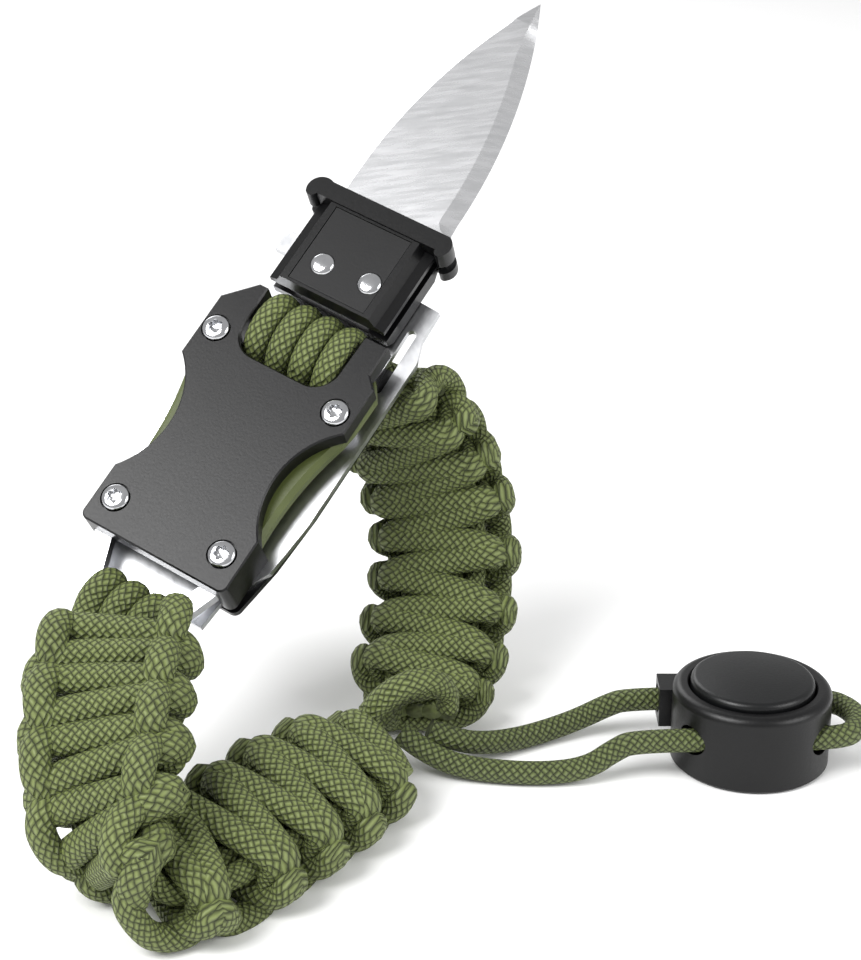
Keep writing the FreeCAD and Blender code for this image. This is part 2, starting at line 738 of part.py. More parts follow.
def round_route(points):
    """Straight runs joined by tangent arcs, as one wire, with its length and radii."""
    edges = []
    radii = []
    here = points[0]
    for before, corner, after in zip(points, points[1:], points[2:]):
        back = before - corner
        ahead = after - corner
        turn = math.pi - back.getAngle(ahead)
        reach = 0.45 * min(back.Length, ahead.Length)
        radii.append(reach / math.tan(turn / 2))
        back.normalize()
        ahead.normalize()
        start = corner + back * reach
        end = corner + ahead * reach
        inward = (back + ahead).normalize()
        middle = corner + inward * (radii[-1] * (1 / math.cos(turn / 2) - 1))
        edges.append(Part.LineSegment(here, start).toShape())
        edges.append(Part.Arc(start, middle, end).toShape())
        here = end
    edges.append(Part.LineSegment(here, points[-1]).toShape())
    return Part.Wire(edges), radii


def tube(points, radius):
    """A round tube along a route, and a note of its length and tightest bend."""
    route = [Vector(*point) for point in points]
    wire, radii = round_route(route)
    section = Part.Wire(Part.makeCircle(radius, route[0], route[1] - route[0]))
    solid = wire.makePipeShell([section], True, True)
    expected = math.pi * radius ** 2 * wire.Length
    print("tube length %.1f radii %s volume ratio %.4f" % (
        wire.Length, [round(value, 1) for value in radii], solid.Volume / expected))
    return solid


def cord_node(node, shapes, place):
    """A node of one or more plain cords."""
    thing = doc.addObject("Part::Feature", node)
    thing.Shape = shapes[0] if len(shapes) == 1 else Part.makeCompound(shapes)
    return finished(thing, node, place)


UPPER_CORDS = (-6.4, -2.15, 2.15, 6.4)
LOWER_CORDS = (-3.8, 0.0, 3.8)


def make_upper_loop_cords():
    """Four cords that come through the rear plate and turn over the upper crossbar."""
    radius = size("loop_cord_radius")
    front = size("strap_plate_top") + radius + 0.1
    shapes = []
    for x in UPPER_CORDS:
        shapes.append(tube([
            (x, 15.4, -11.4),
            (x, 15.4, -5.4),
            (x, 16.4, front - 0.2),
            (x, 20.0, front + 0.3),
            (x, 24.3, front + 0.1),
            (x, 24.6, -5.4),
            (x, 24.4, -11.4),
        ], radius))
    return cord_node("upper_loop_cords", shapes, BUCKLE)


def make_lower_loop_cords():
    """Three cords that turn over the bar of the trapezoid loop."""
    radius = size("loop_cord_radius")
    front = size("strap_plate_top") + radius + 0.1
    back = size("strap_plate_top") - size("strap_plate_thick") - radius - 0.1
    shapes = []
    for x in LOWER_CORDS:
        shapes.append(tube([
            (x + 0.9, -33.0, front - 0.3),
            (x, -29.2, front + 0.1),
            (x, -26.1, front - 0.5),
            (x, -26.1, back + 0.5),
            (x, -29.2, back - 0.1),
            (x + 0.9, -33.0, back + 0.3),
        ], radius))
    return cord_node("lower_loop_cords", shapes, BUCKLE)


# A strap's stations: the middle of the strap, the way its width runs, and half its width.
STRAP_A_UPPER = [
    ((-24.99, -19.15, 29.0), (0.89, -0.41, -0.20), 12.0),
    ((-25.29, -24.45, 27.0), (0.91, -0.39, -0.13), 12.0),
    ((-25.49, -30.45, 24.5), (0.94, -0.34, -0.05), 12.0),
    ((-25.09, -35.95, 21.4), (0.94, -0.35, 0.00), 12.0),
    ((-24.29, -41.45, 17.4), (0.88, -0.47, 0.04), 12.0),
]
STRAP_A_LOWER = [
    ((-24.29, -41.45, 17.4), (0.88, -0.47, 0.04), 12.0),
    ((-22.49, -45.95, 12.2), (0.76, -0.65, 0.02), 12.0),
    ((-17.49, -47.45, 7.86), (0.58, -0.80, -0.12), 12.0),
    ((-10.99, -43.45, 7.66), (0.62, -0.74, -0.26), 12.0),
    ((-4.99, -36.15, 7.96), (0.66, -0.67, -0.33), 12.0),
    ((1.01, -27.95, 7.96), (0.68, -0.65, -0.33), 12.0),
    ((7.01, -19.75, 7.56), (0.68, -0.65, -0.33), 11.0),
    ((11.01, -13.75, 6.7), (0.70, -0.64, -0.30), 8.0),
]
STRAP_B = [
    ((12.51, 23.65, 51.5), (0.88, -0.40, 0.05), 10.5),
    ((15.41, 26.35, 44.3), (0.90, -0.36, 0.20), 12.0),
    ((18.11, 28.05, 38.6), (0.92, -0.28, 0.24), 12.0),
    ((20.11, 28.45, 32.8), (0.95, -0.20, 0.22), 12.0),
    ((21.71, 26.65, 26.0), (0.98, -0.14, 0.12), 12.0),
    ((21.71, 22.05, 19.0), (0.98, -0.18, 0.04), 12.0),
    ((20.31, 15.85, 12.2), (0.96, -0.24, -0.08), 12.0),
    ((18.71, 8.65, 8.0), (0.93, -0.30, -0.18), 11.5),
    ((18.51, 2.05, 5.2), (0.91, -0.34, -0.22), 8.0),
]


def strap_section(centre, along, across, half, thick):
    """An eight-sided section of a strap."""
    along = Vector(along)
    along.normalize()
    across = across - along * across.dot(along)
    across.normalize()
    out = across.cross(along)
    flat = half - 2.6
    high = thick / 2
    corners = [(-half, -high + 2.6), (-flat, -high), (flat, -high), (half, -high + 2.6),
               (half, high - 2.6), (flat, high), (-flat, high), (-half, high - 2.6)]
    points = [centre + across * a + out * b for a, b in corners]
    return Part.makePolygon(points + points[:1])


def make_strap(node, stations, before=None, after=None):
    """A plain closed solid for a woven strap, lofted straight between its stations."""
    middles = [Vector(*station[0]) for station in stations]
    first = Vector(*before) if before else middles[0]
    last = Vector(*after) if after else middles[-1]
    ring = [first] + middles + [last]
    thick = size("strap_thick")
    sections = []
    for n, (middle, across, half) in enumerate(stations):
        along = ring[n + 2] - ring[n]
        sections.append(strap_section(middles[n], along, Vector(*across), half, thick))
    thing = doc.addObject("Part::Feature", node)
    thing.Shape = Part.makeLoft(sections, True, True)
    print(node, "volume", round(thing.Shape.Volume), "valid", thing.Shape.isValid())
    return finished(thing, node, ROW)


# The drawcord's route: out of the strap's end, along the ground, through the lock, round a small
# loop, back through the lock and to the strap again.
lock_y = size("lock_y")
high = size("channel_high")
FRONT_LINE = lock_y - channel
BACK_LINE = lock_y + channel
DRAWCORD = [
    (14.9, -6.5, 6.4),
    (18.9, -8.1, 3.8),
    (24.1, -9.5, 2.2),
    (30.9, -10.7, 1.9),
    (38.0, -11.0, 1.9),
    (43.6, -10.2, 2.5),
    (47.3, FRONT_LINE - 0.3, 4.8),
    (50.6, FRONT_LINE, high),
    (81.4, FRONT_LINE, high),
    (85.4, FRONT_LINE + 4.0, high),
    (85.4, BACK_LINE - 4.0, high),
    (81.4, BACK_LINE, high),
    (50.6, BACK_LINE, high),
    (47.0, BACK_LINE + 0.2, 4.9),
    (43.2, BACK_LINE, 2.9),
    (38.0, 2.4, 2.0),
    (32.9, -0.5, 2.0),
    (27.7, -3.7, 3.0),
    (23.1, -5.5, 4.6),
    (19.3, -5.5, 6.4),
]
END_LOOP = [
    (10.11, -8.35, 10.4),
    (12.31, -8.75, 13.4),
    (15.71, -8.15, 15.4),
    (19.51, -6.15, 15.2),
    (21.91, -4.15, 12.4),
    (22.11, -3.75, 9.2),
]

makers = [
    make_front_plate,
    lambda: make_liner_rail(-1, "liner_rail_left"),
    lambda: make_liner_rail(1, "liner_rail_right"),
    make_strap_plate,
    make_rear_plate,
    make_back_cover,
    make_plate_screws,
    make_barrel_nuts,
    make_spacer_bushes,
    make_blade,
    make_grip_front,
    make_grip_panel,
    make_grip_rear,
    make_guard_collar,
    make_grip_rivets,
    make_lock_body,
    make_lock_base,
    make_lock_button,
    make_lock_spring,
    make_upper_loop_cords,
    make_lower_loop_cords,
    lambda: make_strap("strap_a_upper", STRAP_A_UPPER, after=STRAP_A_LOWER[1][0]),
    lambda: make_strap("strap_a_lower", STRAP_A_LOWER, before=STRAP_A_UPPER[-2][0]),
    lambda: make_strap("strap_b", STRAP_B),
    lambda: cord_node("end_loop", [tube(END_LOOP, size("cord_radius"))], ROW),
    lambda: cord_node("drawcord", [tube(DRAWCORD, size("cord_radius"))], ROW),
]
for make in makers:
    make()
doc.recompute()

for thing in doc.Objects:
    if "Invalid" in thing.State or "Error" in thing.State:
        raise RuntimeError("failed: " + thing.Label)
for thing in subparts:
    if thing.Shape.isNull() or not thing.Shape.isValid():
        raise RuntimeError("bad shape: " + thing.Label)

os.makedirs("parts", exist_ok=True)
for thing in subparts:
    thing.Shape.exportStep("parts/" + thing.Label + ".step")
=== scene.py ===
import math

import bpy
from mathutils import Euler, Matrix, Vector


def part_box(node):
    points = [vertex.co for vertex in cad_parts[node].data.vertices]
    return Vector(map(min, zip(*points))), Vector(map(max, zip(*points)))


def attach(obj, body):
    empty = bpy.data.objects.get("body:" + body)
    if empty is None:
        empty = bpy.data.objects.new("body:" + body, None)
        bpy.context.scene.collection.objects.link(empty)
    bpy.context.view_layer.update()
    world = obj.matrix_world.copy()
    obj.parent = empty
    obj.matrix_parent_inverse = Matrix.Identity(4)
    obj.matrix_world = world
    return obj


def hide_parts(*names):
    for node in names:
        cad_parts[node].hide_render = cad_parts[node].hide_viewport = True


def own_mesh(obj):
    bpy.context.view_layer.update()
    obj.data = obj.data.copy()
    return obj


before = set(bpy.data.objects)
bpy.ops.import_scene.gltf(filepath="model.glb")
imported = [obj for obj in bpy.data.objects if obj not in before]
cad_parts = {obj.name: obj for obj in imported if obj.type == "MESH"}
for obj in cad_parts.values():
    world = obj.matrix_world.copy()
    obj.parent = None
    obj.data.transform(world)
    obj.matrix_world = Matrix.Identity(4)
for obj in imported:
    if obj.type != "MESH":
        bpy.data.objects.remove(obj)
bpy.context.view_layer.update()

bl_info = {
    "name": "Cord bracelet with buckle knife",
    "version": (1, 0, 0),
    "blender": (4, 5, 0),
    "location": "3D View > Sidebar > Bracelet",
    "description": "Woven cord straps, buckle, knife, drawcord and cord lock on the packed frame",
    "category": "Object",
}

MM = 0.001

# The buckle's own frame: X across it, Y towards the knife's tip, Z out of its front face.
BUCKLE_TURNS = (41.8, 16.7, -28.3)
BUCKLE = Matrix.Translation((-10.89, 4.85, 49.9)) @ Euler(
    [math.radians(turn) for turn in BUCKLE_TURNS], "XYZ").to_matrix().to_4x4()

# A strap's stations: its middle, the way its width runs, and half its width, in millimetres.
STRAP_A = [
    ((-24.99, -19.15, 29.0), (0.89, -0.41, -0.20), 12.0),
    ((-25.29, -24.45, 27.0), (0.91, -0.39, -0.13), 12.0),
    ((-25.49, -30.45, 24.5), (0.94, -0.34, -0.05), 12.0),
    ((-25.09, -35.95, 21.4), (0.94, -0.35, 0.00), 12.0),
    ((-24.29, -41.45, 17.4), (0.88, -0.47, 0.04), 12.0),
    ((-22.49, -45.95, 12.2), (0.76, -0.65, 0.02), 12.0),
    ((-17.49, -47.45, 7.86), (0.58, -0.80, -0.12), 12.0),
    ((-10.99, -43.45, 7.66), (0.62, -0.74, -0.26), 12.0),
    ((-4.99, -36.15, 7.96), (0.66, -0.67, -0.33), 12.0),
    ((1.01, -27.95, 7.96), (0.68, -0.65, -0.33), 12.0),
    ((7.01, -19.75, 7.56), (0.68, -0.65, -0.33), 11.0),
    ((11.01, -13.75, 6.7), (0.70, -0.64, -0.30), 8.0),
]
STRAP_B = [
    ((12.51, 23.65, 51.5), (0.88, -0.40, 0.05), 10.5),
    ((15.41, 26.35, 44.3), (0.90, -0.36, 0.20), 12.0),
    ((18.11, 28.05, 38.6), (0.92, -0.28, 0.24), 12.0),
    ((20.11, 28.45, 32.8), (0.95, -0.20, 0.22), 12.0),
    ((21.71, 26.65, 26.0), (0.98, -0.14, 0.12), 12.0),
    ((21.71, 22.05, 19.0), (0.98, -0.18, 0.04), 12.0),
    ((20.31, 15.85, 12.2), (0.96, -0.24, -0.08), 12.0),
    ((18.71, 8.65, 8.0), (0.93, -0.30, -0.18), 11.5),
    ((18.51, 2.05, 5.2), (0.91, -0.34, -0.22), 8.0),
]
END_LOOP = [(10.11, -8.35, 10.4), (12.31, -8.75, 13.4), (15.71, -8.15, 15.4),
            (19.51, -6.15, 15.2), (21.91, -4.15, 12.4), (22.11, -3.75, 9.2)]
DRAWCORD = [
    (0.0149, -0.0065, 0.0064), (0.0189, -0.0081, 0.0038), (0.0241, -0.0095, 0.0022),
    (0.0309, -0.0107, 0.0019), (0.0380, -0.0110, 0.0019), (0.0436, -0.0102, 0.0025),
    (0.0473, -0.00925, 0.0048), (0.0506, -0.00895, 0.0065), (0.0814, -0.00895, 0.0065),
    (0.0854, -0.00495, 0.0065), (0.0854, 0.00065, 0.0065), (0.0814, 0.00465, 0.0065),
    (0.0506, 0.00465, 0.0065), (0.0470, 0.00485, 0.0049), (0.0432, 0.00465, 0.0029),
    (0.0380, 0.0024, 0.0020), (0.0329, -0.0005, 0.0020), (0.0277, -0.0037, 0.0030),
    (0.0231, -0.0055, 0.0046), (0.0193, -0.0055, 0.0064),
]
SCREWS = ((-9.9, -16.0), (9.5, -15.8), (-12.4, 15.0), (11.9, 11.6))
RIVETS = ((-3.4, 31.9), (5.0, 32.4))


# ---------------------------------------------------------------- settings


class BraceletSizes(bpy.types.PropertyGroup):
    """Sizes of the cords, in millimetres."""

    pitch: bpy.props.FloatProperty(
        name="Knot pitch", description="Distance between neighbouring bars of the weave",
        default=4.55, min=3.0, max=8.0)
    cord_half_wide: bpy.props.FloatProperty(
        name="Cord half width", description="Half width of a cord pressed flat in the weave",
        default=2.38, min=1.5, max=3.5)
    cord_half_tall: bpy.props.FloatProperty(
        name="Cord half height", description="Half height of a cord pressed flat in the weave",
        default=1.9, min=1.0, max=3.0)
    drawcord_radius: bpy.props.FloatProperty(
        name="Drawcord radius", description="Radius of the round drawcord", default=1.8, min=1.0, max=3.0)
    braid_cell: bpy.props.FloatProperty(
        name="Braid cell", description="Length of one crossing of the sheath's yarns",
        default=1.2, min=0.6, max=3.0)


class BraceletColours(bpy.types.PropertyGroup):
    """Colours of the nylon, as sRGB hex."""

    cord_light: bpy.props.StringProperty(
        name="Cord, light yarn", description="Crowns of the sheath's yarns", default="#6e7943")
    # Painted shade for the gaps between the sheath's yarns, not a colour of the nylon itself.
    cord_gap_painted_shade: bpy.props.StringProperty(
        name="Cord, between yarns", description="Gaps between the sheath's yarns", default="#1a1f0e")
    drawcord_light: bpy.props.StringProperty(
        name="Drawcord, light yarn", description="Crowns of the drawcord's yarns", default="#5f6a3a")
    # Painted shade for the gaps between the drawcord's yarns, not a colour of the nylon itself.
    drawcord_gap_painted_shade: bpy.props.StringProperty(
        name="Drawcord, between yarns", description="Gaps between the drawcord's yarns", default="#0f1208")


# ---------------------------------------------------------------- materials


def linear(shade):
    """An sRGB hex colour as linear red, green, blue and full alpha."""
    parts = [int(shade[n:n + 2], 16) / 255 for n in (1, 3, 5)]
    return [c / 12.92 if c <= 0.04045 else ((c + 0.055) / 1.055) ** 2.4 for c in parts] + [1.0]


def add_node(tree, kind, links=None, **settings):
    """Adds a node, sets its properties or inputs, and links other sockets to its inputs."""
    node = tree.nodes.new(kind)
    for key, value in settings.items():
        if hasattr(node, key):
            setattr(node, key, value)
        else:
            node.inputs[key.replace("_", " ")].default_value = value
    for socket, source in (links or {}).items():
        tree.links.new(source, node.inputs[socket])
    return node


def sums(tree, operation, first, second=None):
    """A Math node on two sockets or numbers, and its result."""
    node = tree.nodes.new("ShaderNodeMath")
    node.operation = operation
    for n, term in enumerate((first, second)):
        if isinstance(term, (int, float)):
            node.inputs[n].default_value = term
        elif term is not None:
            tree.links.new(term, node.inputs[n])
    return node.outputs[0]


def blank_material(name, **shader):
    """A new material with one Principled shader, whose constants sit on its own sockets."""
    made = bpy.data.materials.new(name)
    made.use_nodes = True
    bsdf = made.node_tree.nodes["Principled BSDF"]
    for key, value in shader.items():
        bsdf.inputs[key.replace("_", " ")].default_value = value
    return made, made.node_tree, bsdf


def object_place(tree):
    """Object coordinates, in metres."""
    return add_node(tree, "ShaderNodeTexCoord").outputs["Object"]


def mottled(tree, bsdf, dark, light, scale, detail=4.0):
    """Colour that wanders between two shades with noise of the given scale."""
    noise = add_node(tree, "ShaderNodeTexNoise", {"Vector": object_place(tree)}, Scale=scale, Detail=detail)
    ramp = add_node(tree, "ShaderNodeValToRGB", {"Fac": noise.outputs["Fac"]})
    ramp.color_ramp.elements[0].position = 0.3
    ramp.color_ramp.elements[1].position = 0.7
    ramp.color_ramp.elements[0].color = linear(dark)
    ramp.color_ramp.elements[1].color = linear(light)
    tree.links.new(ramp.outputs["Color"], bsdf.inputs["Base Color"])


def rough_range(tree, bsdf, factor, low, high):
    """Roughness that follows a factor from low to high."""
    ranged = add_node(tree, "ShaderNodeMapRange", {"Value": factor}, To_Min=low, To_Max=high)
    tree.links.new(ranged.outputs["Result"], bsdf.inputs["Roughness"])


def bumped(tree, bsdf, height, distance, strength=1.0):
    """Bump from a height socket, with its depth in metres."""
    bump = add_node(tree, "ShaderNodeBump", {"Height": height}, Strength=strength, Distance=distance)
    tree.links.new(bump.outputs["Normal"], bsdf.inputs["Normal"])


def coated_steel(name, dark, light, rough):
    """Steel with a baked satin black coating: soft wide highlights over a very fine orange peel."""
    made, tree, bsdf = blank_material(name, IOR=1.5, Specular_IOR_Level=0.3)
    mottled(tree, bsdf, dark, light, 90.0)
    grain = add_node(tree, "ShaderNodeTexNoise", {"Vector": object_place(tree)}, Scale=2600.0, Detail=2.0)
    rough_range(tree, bsdf, grain.outputs["Fac"], rough - 0.05, rough + 0.07)
    bumped(tree, bsdf, grain.outputs["Fac"], 0.00003, 0.35)
    return made


def bright_steel(name, dark, light, low, high, stretch):
    """Stainless steel with a fine one-way finish: bright, with streaked soft highlights."""
    made, tree, bsdf = blank_material(name, Metallic=1.0)
    grinding = add_node(tree, "ShaderNodeMapping", {"Vector": object_place(tree)})
    grinding.inputs["Rotation"].default_value = [-math.radians(turn) for turn in BUCKLE_TURNS]
    grinding.inputs["Scale"].default_value = stretch
    streaks = add_node(tree, "ShaderNodeTexNoise", {"Vector": grinding.outputs["Vector"]},
                       Scale=1.0, Detail=5.0)
    ramp = add_node(tree, "ShaderNodeValToRGB", {"Fac": streaks.outputs["Fac"]})
    ramp.color_ramp.elements[0].color = linear(dark)
    ramp.color_ramp.elements[1].color = linear(light)
    tree.links.new(ramp.outputs["Color"], bsdf.inputs["Base Color"])
    rough_range(tree, bsdf, streaks.outputs["Fac"], low, high)
    bumped(tree, bsdf, streaks.outputs["Fac"], 0.00001, 0.25)
    return made


def moulded(name, dark, light, rough, grain_scale):
    """Injection-moulded plastic: even colour, soft sheen and a fine spark-eroded grain."""
    made, tree, bsdf = blank_material(name, IOR=1.49, Specular_IOR_Level=0.35)
    mottled(tree, bsdf, dark, light, 140.0)
    grain = add_node(tree, "ShaderNodeTexNoise", {"Vector": object_place(tree)},
                     Scale=grain_scale, Detail=2.0)
    rough_range(tree, bsdf, grain.outputs["Fac"], rough - 0.06, rough + 0.08)
    bumped(tree, bsdf, grain.outputs["Fac"], 0.00004, 0.4)
    return made


def braided_nylon(name, light, dark, cell, around):
    """Braided nylon sheath: yarns cross in a fine diamond pattern with painted shade in the gaps between
    them, and a soft sheen.
    """
    made, tree, bsdf = blank_material(name, IOR=1.52, Sheen_Weight=0.25, Sheen_Roughness=0.5)
    bsdf.inputs["Sheen Tint"].default_value = linear(light)
    spot = add_node(tree, "ShaderNodeUVMap", uv_map="cord")
    split = add_node(tree, "ShaderNodeSeparateXYZ", {"Vector": spot.outputs["UV"]})
    wobble = add_node(tree, "ShaderNodeTexNoise", {"Vector": object_place(tree)}, Scale=700.0, Detail=1.0)
    shaken = sums(tree, "MULTIPLY", sums(tree, "SUBTRACT", wobble.outputs["Fac"], 0.5), 0.5)
    along = sums(tree, "ADD", sums(tree, "DIVIDE", split.outputs["X"], cell), shaken)
    turn = sums(tree, "MULTIPLY", split.outputs["Y"], around)
    first = sums(tree, "ADD", along, turn)
    second = sums(tree, "SUBTRACT", along, turn)
    parity = sums(tree, "FLOORED_MODULO",
                  sums(tree, "ADD", sums(tree, "FLOOR", first), sums(tree, "FLOOR", second)), 2.0)
    across = sums(tree, "SINE", sums(tree, "MULTIPLY", sums(tree, "FRACT", first), math.pi))
    down = sums(tree, "SINE", sums(tree, "MULTIPLY", sums(tree, "FRACT", second), math.pi))
    over_first = sums(tree, "MULTIPLY", across, sums(tree, "POWER", down, 0.3))
    over_second = sums(tree, "MULTIPLY", down, sums(tree, "POWER", across, 0.3))
    height = add_node(tree, "ShaderNodeMix", {"Factor": parity})
    tree.links.new(over_first, height.inputs[2])
    tree.links.new(over_second, height.inputs[3])
    crown = sums(tree, "POWER", height.outputs[0], 0.8)
    patch = add_node(tree, "ShaderNodeTexNoise", {"Vector": object_place(tree)}, Scale=160.0, Detail=3.0)
    # Colour factor: low in the gaps, where shade is painted, high on the yarns' crowns, with random patches
    # of tone on top.
    crown_shade_and_patches = sums(tree, "ADD", sums(tree, "MULTIPLY", crown, 0.85),
                 sums(tree, "MULTIPLY", patch.outputs["Fac"], 0.25))
    ramp = add_node(tree, "ShaderNodeValToRGB", {"Fac": crown_shade_and_patches})
    ramp.color_ramp.elements[0].position = 0.12
    ramp.color_ramp.elements[1].position = 0.95
    ramp.color_ramp.elements[0].color = linear(dark)
    ramp.color_ramp.elements[1].color = linear(light)
    tree.links.new(ramp.outputs["Color"], bsdf.inputs["Base Color"])
    rough_range(tree, bsdf, crown, 0.85, 0.55)
    bumped(tree, bsdf, crown, 0.0004, 1.0)
    return made


# ---------------------------------------------------------------- mesh helpers


class Shape:
    """Points, faces and cord coordinates of one mesh while it is built, in millimetres."""

    def __init__(self):
        self.points, self.faces, self.marks = [], [], []

    def ring_strip(self, rings, marks=None):
        """Joins rings of equal count with quads, and caps both ends."""
        count = len(rings[0])
        start = len(self.points)
        for ring in rings:
            self.points += ring
        for row in range(len(rings) - 1):
            for spoke in range(count):
                after = (spoke + 1) % count
                self.faces.append([start + row * count + spoke, start + row * count + after,
                                   start + (row + 1) * count + after, start + (row + 1) * count + spoke])
                if marks:
                    low, high = spoke / count, (spoke + 1) / count
                    self.marks += [(marks[row], low), (marks[row], high),
                                   (marks[row + 1], high), (marks[row + 1], low)]
        for row, flip in ((0, True), (len(rings) - 1, False)):
            cap = [start + row * count + n for n in range(count)]
            self.faces.append(cap[::-1] if flip else cap)
            if marks:
                self.marks += [(marks[row], 0.0)] * count

    def piece(self, name, material, place=Matrix.Identity(4), sharp=None):
        """The finished object in the row frame, in metres."""
        mesh = bpy.data.meshes.new(name)
        mesh.from_pydata([place @ Vector(p) * MM for p in self.points], [], self.faces)
        if self.marks:
            layer = mesh.uv_layers.new(name="cord")
            layer.data.foreach_set("uv", [c for mark in self.marks for c in mark])
        mesh.validate()
        mesh.polygons.foreach_set("use_smooth", [True] * len(mesh.polygons))
        if sharp is not None:
            mesh.set_sharp_from_angle(angle=math.radians(sharp))
        mesh.materials.append(material)
        made = bpy.data.objects.new(name, mesh)
        bpy.context.scene.collection.objects.link(made)
        return made


def between(values, spot):
    """Catmull-Rom value of a list of vectors at a fractional index."""
    last = len(values) - 1
    spot = min(max(spot, 0.0), last - 1e-6)
    n = int(spot)
    t = spot - n
    a, b, c, d = (values[min(max(n + k, 0), last)] for k in (-1, 0, 1, 2))
    if n == 0:
        a = 2 * b - c
    if n + 2 > last:
        d = 2 * c - b
    square = 2 * a - 5 * b + 4 * c - d
    cube = 3 * b - a - 3 * c + d
    return 0.5 * (2 * b + (c - a) * t + square * t * t + cube * t ** 3)


def swept(shape, line, ups, half_wide, half_tall, spokes=14):
    """Sweeps an oval section along a line, its flat side facing the given directions."""
    rings, marks, far = [], [], 0.0
    for n, spot in enumerate(line):
        ahead = line[min(n + 1, len(line) - 1)] - line[max(n - 1, 0)]
        ahead.normalize()
        up = ups[n] - ahead * ups[n].dot(ahead)
        up.normalize()
        side = ahead.cross(up)
        if n:
            far += (spot - line[n - 1]).length
        marks.append(far)
        rings.append([spot + side * (math.cos(a) * half_wide) + up * (math.sin(a) * half_tall)
                      for a in (2 * math.pi * k / spokes for k in range(spokes))])
    shape.ring_strip(rings, marks)


def smooth_run(knots, step=0.55):
    """Points and facing directions along a smooth line through (point, facing) knots."""
    spots = [Vector(spot) for spot, facing in knots]
    facings = [Vector(facing) for spot, facing in knots]
    line, ups = [], []
    for n in range(len(knots) - 1):
        cuts = max(2, int((spots[n + 1] - spots[n]).length / step))
        for k in range(cuts):
            line.append(between(spots, n + k / cuts))
            ups.append(between(facings, n + k / cuts))
    line.append(spots[-1])
    ups.append(facings[-1])
    return line, ups


class Strap:
    """A woven strap's course: turns (distance, across, out) into a place in the row frame."""

    def __init__(self, stations, outward):
        self.mids = [Vector(mid) for mid, across, half in stations]
        self.across = [Vector(across) for mid, across, half in stations]
        self.halves = [half for mid, across, half in stations]
        self.outward = outward
        self.table = [0.0]
        self.fine = 24
        spots = [self.outer_face(n / self.fine) for n in range((len(stations) - 1) * self.fine + 1)]
        for here, there in zip(spots, spots[1:]):
            self.table.append(self.table[-1] + (there - here).length)
        self.length = self.table[-1]

    def outer_face(self, spot):
        """A point on the outer face, along which the knots are evenly spaced."""
        spot = min(spot, len(self.mids) - 1.001)
        along = between(self.mids, spot + 0.02) - between(self.mids, max(spot - 0.02, 0.0))
        out = between(self.across, spot).cross(along).normalized() * self.outward
        return between(self.mids, spot) + out * 3.0

    def index(self, distance):
        """The fractional station at a distance along the strap."""
        if distance <= 0:
            return 0.0
        for n in range(1, len(self.table)):
            if self.table[n] >= distance:
                part = (distance - self.table[n - 1]) / (self.table[n] - self.table[n - 1])
                return (n - 1 + part) / self.fine
        return len(self.mids) - 1.0

    def axes(self, distance):
        """Middle, across, out and half width at a distance."""
        spot = min(self.index(distance), len(self.mids) - 1.001)
        mid = between(self.mids, spot)
        along = (between(self.mids, spot + 0.02) - between(self.mids, max(spot - 0.02, 0.0))).normalized()
        extra = distance - min(max(distance, 0.0), self.length)
        mid = mid + along * extra
        across = between(self.across, spot)
        across = (across - along * across.dot(along)).normalized()
        out = across.cross(along) * self.outward
        n = int(spot)
        half = self.halves[n] + (self.halves[n + 1] - self.halves[n]) * (spot - n)
        return mid, across, out, half

    def knot(self, distance, x, out, facing):
        """A knot of a cord: x as a share of the half width, out in millimetres."""
        mid, across, outward, half = self.axes(distance)
        spot = mid + across * (x * half) + outward * out
        return spot, across * facing[0] + outward * facing[1]


BAR_HIGH = 3.3  # middle of a bar above the strap's middle, resting on the core cords
CORE_RADIUS = 1.75


